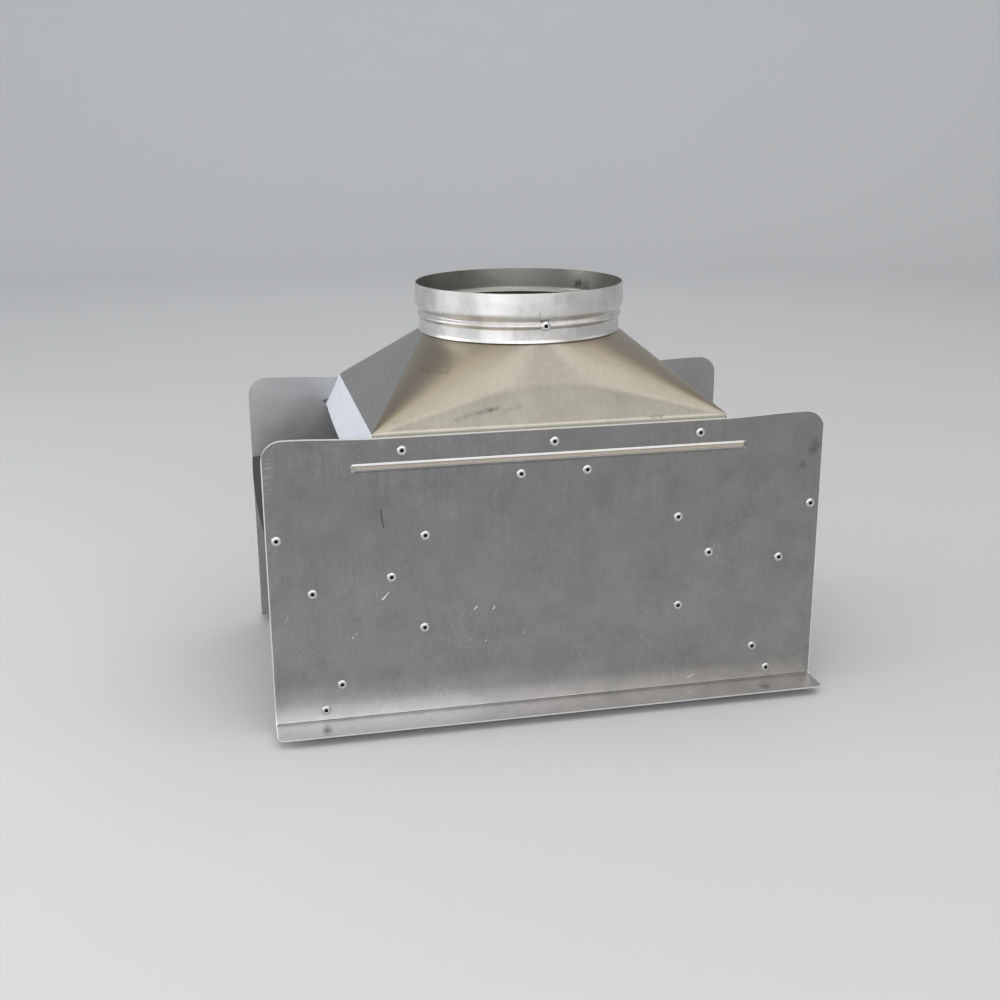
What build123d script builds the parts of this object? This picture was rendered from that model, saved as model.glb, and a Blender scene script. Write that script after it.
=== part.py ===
from build123d import *
import copy
import math
import os

# Draft diverter of riveted sheet metal, in millimetres.
# +Z is up, the front plate faces -Y, and the origin is on the floor under the flue collar's axis.

# Sheet
sheet = 1.0                     # thickness of every sheet
bend = 1.5                      # inside radius of a sharp fold

# Front and rear plates
plate_width = 394.0
plate_height = 202.0            # underside of the foot flange to the top edge
plate_gap = 212.0               # clear distance between the two plates
plate_corner = 14.0             # radius of the top corners
flange_depth = 25.0             # outer face of the plate to the free edge of the flange
flange_corner = 6.0             # radius of the flange's free corners
foot_drop = 6.0                 # how far the side walls reach below the flanges

# Stiffening bead pressed outward in each plate
bead_end_inset = 58.0           # side edge of the plate to the centre of a rounded end
bead_drop = 22.0                # top edge of the plate to the middle of the bead
bead_width = 6.5
bead_rise = 2.2
bead_slope = 40.0               # lean of the bead's flanks
edge_draw = 1.4                 # how far the bead has drawn the top edge down
edge_run = 20.0                 # length over which the edge comes back up

# Hood
hood_half_width = 124.0         # collar axis to the fold of a side skirt
hood_rise = 0.5                 # fold of the hood above the plates' undrawn top edge
hood_height = 49.5              # fold to the root of the neck
front_bulge = 10.0              # how far the front panel would overhang the plate at mid-width
face_angle = 64.0               # slope of the flattened lower part of the front and rear panels
apex_angle = 8.0                # arc of the neck that a flat panel runs into
corner_folds = 10               # fine folds in each rounded corner
bulge_folds = 10                # fine folds across the front and rear panels
skirt_out = 11.5                # run of a side skirt, measured level
skirt_down = 23.5               # drop of a side skirt
hood_flange = 17.0              # height of the riveting flanges
hood_flange_end = 2.0           # free length from a flange's end to the hood's corner

# Neck and collar
pipe_radius = 75.0              # flue pipe that the socket takes
pipe_clearance = 0.3
collar_height = 34.5
socket_depth = 16.0             # rim to the shoulder that stops the pipe
groove_inset = 1.6              # outside of the pipe to the outside of the groove and the lower band
ridge_rise = 1.8                # outside of the groove to the crest of the ridge
groove_drop = 4.1               # end of the socket to the middle of the groove
ridge_drop = 2.4                # middle of the groove to the middle of the ridge
band_drop = 2.6                 # middle of the ridge to the lower band
crest_width = 1.2               # flat on the crest of the ridge
neck_clearance = 0.1
neck_height = 17.0              # root of the neck to its upper edge

# Rivet places on the plates, from the middle of the plate and down from its top edge
hood_rivet_inset = 19.5         # fold of a side skirt to the outer hood rivets
hood_rivet_drop = 11.2
tie_rivet_spread = 23.3
tie_rivet_drop = 32.5

# Rivet places in from the plate's side edge and down from its top edge
lip_rivet = (7.2, 68.1)
mouth_rivet = (29.3, 107.3)
roof_rivet = (106.9, 71.4)
vertex_rivet = (83.1, 99.5)
tray_rivet = (105.0, 138.0)

# Rivet places in from the plate's side edge and up from the underside of its flange
throat_rivet = (46.6, 26.9)
inlet_rivet = (34.8, 8.8)

# Rivets: small as they are, they and their holes are drawn with few flats
rivet_sides = 8
rivet_shank = 1.6               # radius of the shank and of its hole
rivet_head = 3.3                # radius of the head
rivet_head_rise = 1.2
rivet_head_slope = 45.0
rivet_tail = 2.3                # radius of the upset tail
rivet_tail_length = 3.2
collar_rivet_count = 3
collar_rivet_turn = 1.3         # first rivet from the middle of the front, in degrees
collar_tail_clearance = 0.3     # neck to the tails of the collar's rivets

# Riveting tabs
tab_width = 9.0
tab_margin = 5.5                # rivet centre to the end of the tab
tab_corner = 2.0
seat_gap = 0.2                  # end of an inner sheet to the plate it is riveted to

# Side walls, given by the face on the gas side
wall_reach = 7.5                # rivet centre to the wall's gas side
throat_level = 16.0             # height of the throat above the flange's underside
inlet_spread = 25.6             # how far the inlet lip flares out below the throat
throat_radius = 10.0
mouth_drop = 90.0               # top edge of the plate to where the wall starts to flare
mouth_radius = 40.0
lip_drop = 63.7                 # top edge of the plate to the top of the lip
lip_length = 16.0               # root of the lip to the plate's side edge
lip_radius = 6.0
lip_droop = 0.5
lip_bow = 2.3                   # how far the lip's free edge bows out at mid-depth

# Baffle
baffle_reach = 7.5              # rivet centre to the outside of the baffle
baffle_bend = 4.0
baffle_seam = 0.9               # how far each half stops short of the edge where they meet

# Cross tie
tie_width = 66.0
tie_tab = 16.0                  # height of the down-turned ends
tie_rivet_level = 8.0           # rivet centre to the top of the tie

# Levels and faces that follow from the sizes above
inner_face = plate_gap / 2
outer_face = inner_face + sheet
side_edge = plate_width / 2
plate_top = foot_drop + plate_height
bead_half_length = side_edge - bead_end_inset
hood_level = plate_top + hood_rise
neck_root = hood_level + hood_height
groove_radius = pipe_radius - groove_inset
ridge_radius = groove_radius + ridge_rise
neck_radius = groove_radius - sheet - neck_clearance
socket_radius = pipe_radius + pipe_clearance + sheet
rim_level = neck_root + collar_height
socket_end = rim_level - socket_depth
groove_level = socket_end - groove_drop
ridge_level = groove_level - ridge_drop
band_level = ridge_level - band_drop
collar_turns = [collar_rivet_turn + 360 / collar_rivet_count * step for step in range(collar_rivet_count)]


def from_top(place):
    """A place given in from the plate's side edge and down from its top edge."""
    return (side_edge - place[0], plate_top - place[1])


def from_flange(place):
    """A place given in from the plate's side edge and up from the underside of its flange."""
    return (side_edge - place[0], foot_drop + place[1])


def mirrored(places):
    """The places' mirror images in the middle plane."""
    return [(-x, z) for x, z in places]


hood_rivet_x = hood_half_width - hood_rivet_inset
hood_places = [(x, plate_top - hood_rivet_drop) for x in (-hood_rivet_x, 0, hood_rivet_x)]
tie_places = [(x, plate_top - tie_rivet_drop) for x in (-tie_rivet_spread, tie_rivet_spread)]
wall_places = [from_top(lip_rivet), from_top(mouth_rivet)]
wall_places += [from_flange(throat_rivet), from_flange(inlet_rivet)]
roof_places = [from_top(roof_rivet)]
tray_places = [from_top(tray_rivet), from_top(vertex_rivet)]
baffle_places = roof_places + tray_places
right_places = wall_places + baffle_places
plate_places = hood_places + tie_places + right_places + mirrored(right_places)


def strip(points, radii, side):
    """Outline of a folded sheet, from the corner points of one of its faces."""
    path = FilletPolyline(*points, radius=radii)
    return make_face(offset(path, sheet, side=side))


def rivet_bar(radius, start, end):
    """Bar along Z with a rivet's flats."""
    return Pos(0, 0, start) * extrude(RegularPolygon(radius, rivet_sides), end - start)


def drilled(shape, places, face):
    """The shape with a rivet hole at each place, through the sheets at the given plate face."""
    drill = Rot(90, 0, 0) * rivet_bar(rivet_shank, -4 * sheet, 4 * sheet)
    for x, z in places:
        shape -= Pos(x, face, z) * drill
    return shape


def bead_form(width, face):
    """Long rounded form that stands out from the front plate, as wide as given at the given face."""
    slot = SlotCenterToCenter(2 * bead_half_length, width)
    form = Plane.XZ * extrude(slot, bead_rise, taper=bead_slope)
    return Pos(0, face, plate_top - bead_drop) * form


def front_plate():
    flange_top = foot_drop + sheet
    fold = [(-outer_face, plate_top), (-outer_face, flange_top), (-outer_face - flange_depth, flange_top)]
    plate = extrude(Plane.YZ * strip(fold, bend, Side.LEFT), side_edge, both=True)
    top_corners = plate.edges().filter_by(Axis.Y).group_by(Axis.Z)[-1]
    plate = fillet(top_corners, plate_corner)
    flange_corners = plate.edges().filter_by(Axis.Z).group_by(Axis.Y)[0]
    plate = fillet(flange_corners, flange_corner)

    # the pressed bead has drawn the top edge down along its length
    drawn = bead_half_length - edge_run / 2
    back_up = bead_half_length + edge_run / 2
    low = plate_top - edge_draw
    dip = Polyline((-back_up, plate_top), (-drawn, low), (drawn, low), (back_up, plate_top), close=True)
    plate -= extrude(Plane.XZ * make_face(dip), 2 * outer_face, both=True)

    slope = math.radians(bead_slope)
    hollow_width = bead_width - 2 * sheet * (1 / math.cos(slope) - math.tan(slope))
    plate += bead_form(bead_width, -outer_face)
    plate -= bead_form(hollow_width, -inner_face)
    return drilled(plate, plate_places, -inner_face)


def neck_ring(radius, level):
    """Points round the neck, four lists: each starts at the right-hand end of a flat panel's apex."""
    quarters = []
    for start in (270, 0, 90, 180):
        first = start + apex_angle / 2
        step = (90 - apex_angle) / corner_folds
        turns = [Rotation(0, 0, first + step * fold) for fold in range(corner_folds + 1)]
        quarters.append([(turn * Pos(radius, 0, level)).position for turn in turns])
    return quarters


def hood_form(inset, top):
    """Solid under the hood and up its neck, moved in by the inset on every side."""
    drop = inset * math.tan(math.radians(45) / 2)
    half_width = hood_half_width - inset
    half_depth = inner_face - inset
    low = hood_level - drop
    signs = [(1, -1), (1, 1), (-1, 1), (-1, -1)]
    corners = [Vector(x * half_width, y * half_depth, low) for x, y in signs]
    root = neck_ring(neck_radius - inset, neck_root - drop)
    rim = neck_ring(neck_radius - inset, top)

    bulge = []
    for fold in range(1, bulge_folds):
        share = 2 * fold / bulge_folds - 1
        bulge.append(Vector(share * half_width, -half_depth - front_bulge * (1 - share**2), low))
    front = [corners[3]] + bulge + [corners[0]]
    rear = [Vector(-point.X, -point.Y, point.Z) for point in front]

    polygons = []
    for corner, ring in zip(corners, root):
        polygons += [(corner, a, b) for a, b in zip(ring, ring[1:])]
    polygons += [(corners[0], root[0][-1], root[1][0], corners[1])]
    polygons += [(corners[2], root[2][-1], root[3][0], corners[3])]
    for line, left, right in ((front, root[3][-1], root[0][0]), (rear, root[1][-1], root[2][0])):
        middle = bulge_folds // 2
        polygons += [(a, b, left) for a, b in zip(line[:middle], line[1:])]
        polygons += [(a, b, right) for a, b in zip(line[middle:], line[middle + 1:])]
        polygons.append((line[middle], right, left))

    root_loop = sum(root, [])
    rim_loop = sum(rim, [])
    for step in range(len(root_loop)):
        polygons.append((root_loop[step - 1], root_loop[step], rim_loop[step], rim_loop[step - 1]))
    polygons.append(rim_loop)
    polygons.append(front[:-1] + [corners[0]] + rear[:-1] + [corners[2]])

    faces = [Face(Wire.make_polygon(polygon)) for polygon in polygons]
    form = Solid(Shell(faces))

    # the lower part of the front and rear panels is pressed flat and steep, under an arch
    lean = (neck_root - low) / math.tan(math.radians(face_angle))
    far = half_depth + 4 * front_bulge
    inner_line = [(-half_depth, low), (lean - half_depth, neck_root)]
    slab = make_face(Polyline(*inner_line, (-far, neck_root), (-far, low), close=True))
    cutter = extrude(Plane.YZ * slab, 2 * hood_half_width, both=True)
    return form - cutter - cutter.mirror(Plane.XZ)


def hood():
    neck_top = neck_root + neck_height
    shell = hood_form(0, neck_top) - hood_form(sheet, neck_top + sheet)

    thick = sheet * math.hypot(skirt_out, skirt_down) / skirt_down
    low_edge = hood_half_width + skirt_out
    low = hood_level - skirt_down
    outline = Polyline(
        (hood_half_width, hood_level),
        (low_edge, low),
        (low_edge - thick, low),
        (hood_half_width - thick, hood_level),
        close=True,
    )
    skirt = extrude(Plane.XZ * make_face(outline), inner_face - seat_gap, both=True)
    shell += skirt + skirt.mirror(Plane.YZ)

    flange = Box(2 * (hood_half_width - hood_flange_end), sheet, hood_flange)
    flange = Pos(0, sheet / 2 - inner_face, hood_level - hood_flange / 2) * flange
    flange = drilled(flange, hood_places, -inner_face)
    shell += flange + flange.mirror(Plane.XZ)
    return collar_drilled(shell)


def collar():
    half_crest = crest_width / 2
    outside = [
        (socket_radius, rim_level),
        (socket_radius, socket_end),
        (groove_radius, groove_level),
        (ridge_radius, ridge_level + half_crest),
        (ridge_radius, ridge_level - half_crest),
        (groove_radius, band_level),
        (groove_radius, neck_root),
    ]
    inside = [(radius - sheet, level) for radius, level in reversed(outside)]
    section = Plane.XZ * make_face(Polyline(*outside, *inside, close=True))
    return collar_drilled(revolve(section, Axis.Z))


def collar_drilled(shape):
    """The shape with a hole for each rivet of the collar."""
    drill = Pos(0, -neck_radius, ridge_level) * Rot(90, 0, 0) * rivet_bar(rivet_shank, -8 * sheet, 8 * sheet)
    for turn in collar_turns:
        shape -= Rot(0, 0, turn) * drill
    return shape


def level_line(level):
    """Level line in a section, as a point and a direction."""
    return (Vector(0, level), Vector(1, 0))


def beside(start, end, reach):
    """Line parallel to the one through two points, moved to its right, as a point and a direction."""
    along = Vector(end[0] - start[0], end[1] - start[1]).normalized()
    across = Vector(along.Y, -along.X)
    return (Vector(*start) + across * reach, along)


def meet(first, second):
    """Point where two lines cross."""
    (a, along), (b, other) = first, second
    cross = along.X * other.Y - along.Y * other.X
    step = ((b.X - a.X) * other.Y - (b.Y - a.Y) * other.X) / cross
    point = a + along * step
    return (point.X, point.Y)


def tab(place, start, end):
    """Riveting tab on the front plate: it stands from the sheet between two points to past its rivet."""
    rivet_point = Vector(*place)
    along = Vector(end[0] - start[0], end[1] - start[1]).normalized()
    across = Vector(-along.Y, along.X)
    reach = (rivet_point - Vector(*start)).dot(across)
    across = across * math.copysign(1, reach)
    root = rivet_point - across * (abs(reach) - sheet / 2)
    tip = rivet_point + across * tab_margin
    half = along * (tab_width / 2)
    short = along * (tab_width / 2 - tab_corner)
    shoulder = tip - across * tab_corner
    corners = [root - half, root + half, shoulder + half, tip + short, tip - short, shoulder - half]
    face = make_face(Polyline(*[(point.X, point.Y) for point in corners], close=True))
    return Pos(0, sheet - inner_face, 0) * extrude(Plane.XZ * face, sheet)


def folded(outline, tabs, places):
    """Sheet that spans the gap between the plates, with tabs and rivet holes at both ends."""
    body = extrude(Plane.XZ * outline, inner_face - seat_gap, both=True)
    front_tabs = drilled(sum(tabs[1:], tabs[0]), places, -inner_face)
    return body + front_tabs + front_tabs.mirror(Plane.XZ)


def right_side_wall():
    lip_place, mouth_place, throat_place, inlet_place = wall_places
    wall_line = beside(mouth_place, throat_place, wall_reach)
    throat = meet(wall_line, level_line(foot_drop + throat_level))
    mouth = meet(wall_line, level_line(plate_top - mouth_drop))
    inlet = Vector(throat[0] + inlet_spread, 0)
    below = meet((inlet, inlet - Vector(*throat)), level_line(-2 * sheet))
    lip_root = (side_edge - lip_length, plate_top - lip_drop)
    lip_edge = (side_edge + lip_bow, plate_top - lip_drop - lip_droop)
    corners = [below, throat, mouth, lip_root, lip_edge]
    outline = strip(corners, [throat_radius, mouth_radius, lip_radius], Side.RIGHT)
    tabs = [
        tab(lip_place, lip_root, lip_edge),
        tab(mouth_place, throat, mouth),
        tab(throat_place, throat, mouth),
        tab(inlet_place, below, throat),
    ]
    wall = folded(outline, tabs, wall_places)

    # the floor cuts the inlet lip level, and the free edge of the bell-mouth lip is an arc
    wall -= Pos(0, 0, -plate_height / 2) * Box(2 * plate_width, 2 * plate_gap, plate_height)
    edge = side_edge - seat_gap
    far = 2 * side_edge
    bow = ThreePointArc((edge, -inner_face), (edge + lip_bow, 0), (edge, inner_face))
    rest = Polyline((edge, inner_face), (far, inner_face), (far, -inner_face), (edge, -inner_face))
    wall -= extrude(make_face([bow, rest]), plate_height)
    return wall


def baffle():
    """Tray and roof of the baffle, which meet at its two side edges."""
    roof_place, tray_place, vertex_place = baffle_places
    under = beside(tray_place, vertex_place, baffle_reach)
    over = beside(vertex_place, roof_place, baffle_reach)
    vertex = Vector(*meet(under, over))
    floor_corner = meet(under, level_line(tray_place[1] - baffle_reach))
    top_corner = meet(over, level_line(roof_place[1] + baffle_reach))
    sides = [(floor_corner, tray_places, Side.LEFT), (top_corner, roof_places, Side.RIGHT)]
    halves = []
    for corner, places, side in sides:
        end = vertex - (vertex - Vector(*corner)).normalized() * baffle_seam
        points = [(-end.X, end.Y), (-corner[0], corner[1]), corner, (end.X, end.Y)]
        tabs = []
        for place in places:
            right_tab = tab(place, corner, (end.X, end.Y))
            tabs += [right_tab, right_tab.mirror(Plane.YZ)]
        halves.append(folded(strip(points, baffle_bend, side), tabs, places + mirrored(places)))
    return halves


def cross_tie():
    top = plate_top - tie_rivet_drop + tie_rivet_level
    low = top - tie_tab
    fold = [(-inner_face, low), (-inner_face, top), (inner_face, top), (inner_face, low)]
    tie = extrude(Plane.YZ * strip(fold, bend + sheet, Side.RIGHT), tie_width / 2, both=True)
    for face in (-inner_face, inner_face):
        tie = drilled(tie, tie_places, face)
    return tie


def rivet(length):
    """Blind rivet along Z: head above zero, shank through sheets of the given thickness, upset tail below."""
    head = extrude(RegularPolygon(rivet_head, rivet_sides), rivet_head_rise, taper=rivet_head_slope)
    shank = rivet_bar(rivet_shank, -length, 0)
    tail = rivet_bar(rivet_tail, -length - rivet_tail_length, -length)
    return head + shank + tail


def plate_rivets(places, side):
    """Rivets in a plate, heads outward: side is -1 for the front plate and 1 for the rear one."""
    one = rivet(2 * sheet)
    turn = Rot(-90 * side, 0, 0)
    return Compound(children=[Pos(x, side * outer_face, z) * turn * copy.copy(one) for x, z in places])


def collar_rivets():
    one = rivet(ridge_radius - neck_radius + sheet + collar_tail_clearance)
    seated = Pos(0, -ridge_radius, ridge_level) * Rot(90, 0, 0) * one
    return Compound(children=[Rot(0, 0, turn) * copy.copy(seated) for turn in collar_turns])


front = front_plate()
right_wall = right_side_wall()
tray, roof = baffle()
nodes = {
    "front_plate": front,
    "rear_plate": front.mirror(Plane.XZ),
    "hood": hood(),
    "collar": collar(),
    "left_side_wall": right_wall.mirror(Plane.YZ),
    "right_side_wall": right_wall,
    "baffle_tray": tray,
    "baffle_roof": roof,
    "cross_tie": cross_tie(),
    "collar_rivets": collar_rivets(),
}
rivet_groups = {
    "hood_rivets": hood_places,
    "left_wall_rivets": mirrored(wall_places),
    "right_wall_rivets": wall_places,
    "baffle_rivets": baffle_places + mirrored(baffle_places),
    "tie_rivets": tie_places,
}
for name, places in rivet_groups.items():
    nodes[f"{name}_front"] = plate_rivets(places, -1)
    nodes[f"{name}_rear"] = plate_rivets(places, 1)

os.makedirs("parts", exist_ok=True)
for name, shape in nodes.items():
    export_step(shape, f"parts/{name}.step")
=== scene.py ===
import math

import bpy
import numpy as np
from mathutils import Matrix, Vector, noise


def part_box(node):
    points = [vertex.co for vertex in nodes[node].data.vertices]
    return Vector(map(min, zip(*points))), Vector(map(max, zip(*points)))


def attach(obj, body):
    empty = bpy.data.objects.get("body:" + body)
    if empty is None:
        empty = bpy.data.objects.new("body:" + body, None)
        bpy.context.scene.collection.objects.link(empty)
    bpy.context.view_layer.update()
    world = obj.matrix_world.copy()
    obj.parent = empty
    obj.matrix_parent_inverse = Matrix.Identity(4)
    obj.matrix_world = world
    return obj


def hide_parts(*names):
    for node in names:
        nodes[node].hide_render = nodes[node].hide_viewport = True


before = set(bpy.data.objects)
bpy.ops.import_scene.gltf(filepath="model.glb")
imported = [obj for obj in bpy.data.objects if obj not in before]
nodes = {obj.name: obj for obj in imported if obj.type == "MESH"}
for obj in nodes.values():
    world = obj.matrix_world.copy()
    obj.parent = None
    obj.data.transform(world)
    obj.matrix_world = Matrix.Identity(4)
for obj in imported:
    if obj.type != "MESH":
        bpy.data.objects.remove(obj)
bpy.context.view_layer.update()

# Sizes in metres, from the frame where it has them
MM = 0.001
sheet = 1.0 * MM
plate_low, plate_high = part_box("front_plate")
hood_low, hood_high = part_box("hood")
collar_low, collar_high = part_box("collar")
side_edge = plate_high.x
plate_top = plate_high.z
flange_top = plate_low.z + sheet
inner_face = -plate_high.y
outer_face = inner_face + sheet
flange_edge = -plate_low.y

plate_corner = 14.0 * MM
flange_corner = 6.0 * MM
fold_radius = 1.5 * MM
plate_bevel = 0.35 * MM
bead_drop = 22.0 * MM
bead_tip_inset = 58.0 * MM          # side edge of the plate to the bead's tip
bead_width = 6.5 * MM
bead_rise = 2.5 * MM
bead_level = plate_top - bead_drop
bead_half_length = side_edge - bead_tip_inset - bead_width / 2
edge_draw = 2.0 * MM                # how far the bead has drawn the top edge down
edge_run = 60.0 * MM                # length over which the edge comes back up
edge_highlight_width = 0.9 * MM                # width of the painted highlight along the edges
long_wave = 95.0 * MM
long_wave_height = 0.22 * MM
short_wave = 28.0 * MM
short_wave_height = 0.05 * MM
flange_wave = 70.0 * MM
flange_wave_height = 0.10 * MM
wave_fade = 40.0 * MM               # height above the fold at which the waves are full

hood_half_width = 124.0 * MM
hood_half_depth = hood_high.y
hood_rise = 0.5 * MM                # fold of the hood above the plates' undrawn top edge
hood_level = plate_top + hood_rise
neck_root = collar_low.z
neck_rows = [2.0 * MM, 8.0 * MM, 16.8 * MM]  # rows of points up the neck, above its root
hood_height = neck_root - hood_level
front_bulge = 10.0 * MM             # how far the front panel would overhang at mid-width
face_angle = math.radians(64)       # slope of the flattened front and rear
corner_start = math.radians(7)      # turn over which the corner's tint comes in, from the side
corner_fade = math.radians(24)      # turn over which it goes out, towards the front
arch_softness = 1.6 * MM            # softness of the fold round the flattened face
hood_flange = 17.0 * MM
hood_flange_end = 2.0 * MM          # how much shorter each end of a riveting flange is
base_bend = 7.0 * MM                # bend between the flattened face and the flange
skirt_bow = 1.8 * MM                # how far a skirt's lower edge bows out
seat_gap = 0.2 * MM
neck_radius = 72.3 * MM
hood_bevel = 0.22 * MM
hood_front_steps = 150
hood_side_steps = 90

socket_radius = collar_high.x
rim_level = collar_high.z
socket_depth = 16.0 * MM
groove_drop = 4.1 * MM
ridge_drop = 2.4 * MM
band_drop = 2.6 * MM
socket_end = rim_level - socket_depth
groove_level = socket_end - groove_drop
ridge_level = groove_level - ridge_drop
band_level = ridge_level - band_drop
groove_radius = 73.4 * MM
ridge_radius = 75.2 * MM
crest_allowance = 0.2 * MM          # what rounding takes off the ridge's crest
band_flare = 0.1 * MM
foot_flare = 0.6 * MM
foot_height = 2.0 * MM              # height of the flared foot
rim_band = 0.8 * MM                 # row of points below the rim, which keeps its edge crisp
collar_bends = [6.0 * MM, 0.7 * MM, 1.6 * MM, 1.6 * MM, 3.0 * MM]  # from the socket's end down
collar_bevel = 0.25 * MM
collar_segments = 220

rivet_head = 3.5 * MM
rivet_rise = 1.2 * MM
rivet_shank = 1.6 * MM
rivet_tail = 2.3 * MM
rivet_tail_length = 3.2 * MM
mandrel_hole = 1.25 * MM
mandrel_floor = 0.42 * MM           # floor of the hole above the head's underside
collar_tail_clearance = 0.3 * MM
rivet_lean = 1.5                    # most lean of a rivet, in degrees
rivet_segments = 32


def smooth_step(values):
    """Soft step from 0 to 1 for values from 0 to 1."""
    values = np.clip(values, 0, 1)
    return values * values * (3 - 2 * values)


def wave(x, y, size, seed):
    """Smooth random field from -1 to 1, with features of the given size."""
    return noise.noise(Vector((x / size + seed, y / size - seed, 0.37 * seed)))


def grid_faces(columns, rows, closed=False):
    """Quads of a grid whose points are listed column by column."""
    faces = []
    for column in range(columns if closed else columns - 1):
        after = (column + 1) % columns
        for row in range(rows - 1):
            a = column * rows + row
            b = after * rows + row
            faces.append((a, b, b + 1, a + 1))
    return faces


def new_piece(name, points, faces, node):
    """Smooth-shaded mesh that stands for a node of the frame."""
    mesh = bpy.data.meshes.new(name)
    mesh.from_pydata([tuple(point) for point in points], [], faces)
    mesh.update()
    mesh.polygons.foreach_set("use_smooth", [True] * len(mesh.polygons))
    piece = bpy.data.objects.new(name, mesh)
    bpy.context.scene.collection.objects.link(piece)
    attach(piece, "root")
    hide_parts(node)
    return piece


def give_thickness(piece, edge):
    """Makes a sheet of a surface: cut edges take the piece's second material, the inside its third."""
    solid = piece.modifiers.new("sheet", "SOLIDIFY")
    solid.thickness = sheet
    solid.offset = -1
    solid.use_even_offset = True
    solid.material_offset_rim = 1
    solid.material_offset = 2
    break_edges(piece, edge)


def break_edges(piece, width):
    """Rounds the sharp edges of a piece a little."""
    rounding = piece.modifiers.new("cut edges", "BEVEL")
    rounding.width = width
    rounding.segments = 2
    rounding.limit_method = "ANGLE"
    rounding.angle_limit = math.radians(50)
    rounding.harden_normals = True


# Plates
def plate_columns():
    """Places across a plate, closer together at the corners and at the bead's ends."""
    start = side_edge - plate_corner
    ends = start + plate_corner * np.sin(np.linspace(0, math.pi / 2, 15))
    tips = bead_half_length + np.linspace(-bead_width, bead_width, 17)
    half = np.concatenate([np.linspace(0, start, 70), ends, tips])
    half = np.unique(np.round(half, 5))
    keep = np.concatenate([[True], np.diff(half) > 0.25 * MM])
    half = half[keep]
    half[-1] = side_edge
    return np.concatenate([-half[:0:-1], half])


def plate_top_edge(x):
    """Height of a plate's top edge, drawn down along the bead and rounded at the corners."""
    share = smooth_step((abs(x) - bead_half_length + edge_run / 4) / edge_run)
    level = plate_top - edge_draw * (1 - share)
    past = max(abs(x) - side_edge + plate_corner, 0)
    return level - plate_corner + math.sqrt(max(plate_corner**2 - past**2, 0))


def flange_free_edge(x):
    """Distance of a flange's free edge from the middle of the part."""
    past = max(abs(x) - side_edge + flange_corner, 0)
    return flange_edge - flange_corner + math.sqrt(max(flange_corner**2 - past**2, 0))


def bead_height(x, z):
    """How far the bead stamped into the sheet stands out at a place on the plate."""
    distance = math.hypot(max(abs(x) - bead_half_length, 0), z - bead_level)
    share = min(distance / (bead_width / 2), 1)
    return bead_rise * 0.5 * (1 + math.cos(math.pi * share))


def plate_profile(x):
    """Points down one column of the plate's outer face and out along its flange: y outward and z."""
    bead_top = bead_level + 0.8 * bead_width
    bead_end = bead_level - 0.8 * bead_width
    levels = list(np.linspace(plate_top_edge(x), bead_top, 8)[:-1])
    levels += list(np.linspace(bead_top, bead_end, 29)[:-1])
    levels += list(np.linspace(bead_end, flange_top + fold_radius, 50))
    profile = [(outer_face, z) for z in levels]
    for turn in np.linspace(0, math.pi / 2, 7)[1:]:
        y = outer_face + fold_radius * (1 - math.cos(turn))
        profile.append((y, flange_top + fold_radius * (1 - math.sin(turn))))
    fold_end = outer_face + fold_radius
    profile += [(y, flange_top) for y in np.linspace(fold_end, flange_free_edge(x), 12)[1:]]
    return profile


def plate(name, side, seed, dents):
    """Front plate for side -1 and rear plate for side 1, with the sheet's slight waves."""
    columns = plate_columns()
    points = []
    lengths = []
    for x in columns:
        profile = plate_profile(x)
        run = 0.0
        before = profile[0]
        for y, z in profile:
            run += math.hypot(y - before[0], z - before[1])
            before = (y, z)
            lengths.append((x, run))
            if y > outer_face:
                z += flange_wave_height * wave(x, y, flange_wave, seed)
            else:
                y += bead_height(x, z) + plate_waves(x, z, seed) - dent_depth(x, z, dents)
            points.append((x, side * y, z))
    faces = grid_faces(len(columns), len(points) // len(columns))
    if side < 0:
        faces = [face[::-1] for face in faces]
    piece = new_piece(name, points, faces, name)
    layer = piece.data.uv_layers.new(name="sheet")
    for loop in piece.data.loops:
        layer.data[loop.index].uv = lengths[loop.vertex_index]
    give_thickness(piece, plate_bevel)
    return piece


def plate_waves(x, z, seed):
    """Slight waves of the rolled sheet, none at the fold."""
    free = float(smooth_step((z - flange_top) / wave_fade))
    slow = long_wave_height * wave(x, z, long_wave, seed)
    quick = short_wave_height * wave(x, z, short_wave, seed + 4)
    return free * (slow + quick)


def dent_depth(x, z, dents):
    """Depth of small dents, each given by place, radius and depth."""
    depth = 0.0
    for dent_x, dent_z, radius, most in dents:
        depth += most * math.exp(-((x - dent_x)**2 + (z - dent_z)**2) / radius**2)
    return depth


# Hood
def base_support(turn):
    """How far the hood's bowed base reaches in a direction seen from above."""
    across = abs(math.cos(turn))
    along = abs(math.sin(turn))
    corner = hood_half_width * across + hood_half_depth * along
    if along == 0 or across * hood_half_width > 2 * along * front_bulge:
        return corner
    bow = (across * hood_half_width)**2 / (4 * along * front_bulge)
    return along * (hood_half_depth + front_bulge) + bow


hood_turns = np.linspace(0, 2 * math.pi, 1440, endpoint=False)
hood_reach = np.array([base_support(turn) for turn in hood_turns])


def hood_surface(x, y):
    """Height of the hood above its fold, and how far a place is in a rounded corner."""
    along = x[:, None] * np.cos(hood_turns) + y[:, None] * np.sin(hood_turns)
    planes = hood_height * (hood_reach - along) / (hood_reach - neck_radius)
    lowest = planes.argmin(axis=1)
    smooth = planes.min(axis=1)
    steep = (hood_half_depth - np.abs(y)) * math.tan(face_angle)
    blend = np.clip(0.5 + 0.5 * (steep - smooth) / arch_softness, 0, 1)
    height = steep + (smooth - steep) * blend - arch_softness * blend * (1 - blend)
    turn = np.arctan2(np.abs(np.sin(hood_turns[lowest])), np.abs(np.cos(hood_turns[lowest])))
    corner = smooth_step((math.pi / 2 - turn) / corner_fade) * smooth_step(turn / corner_start)
    return np.maximum(height, 0), corner * blend


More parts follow.
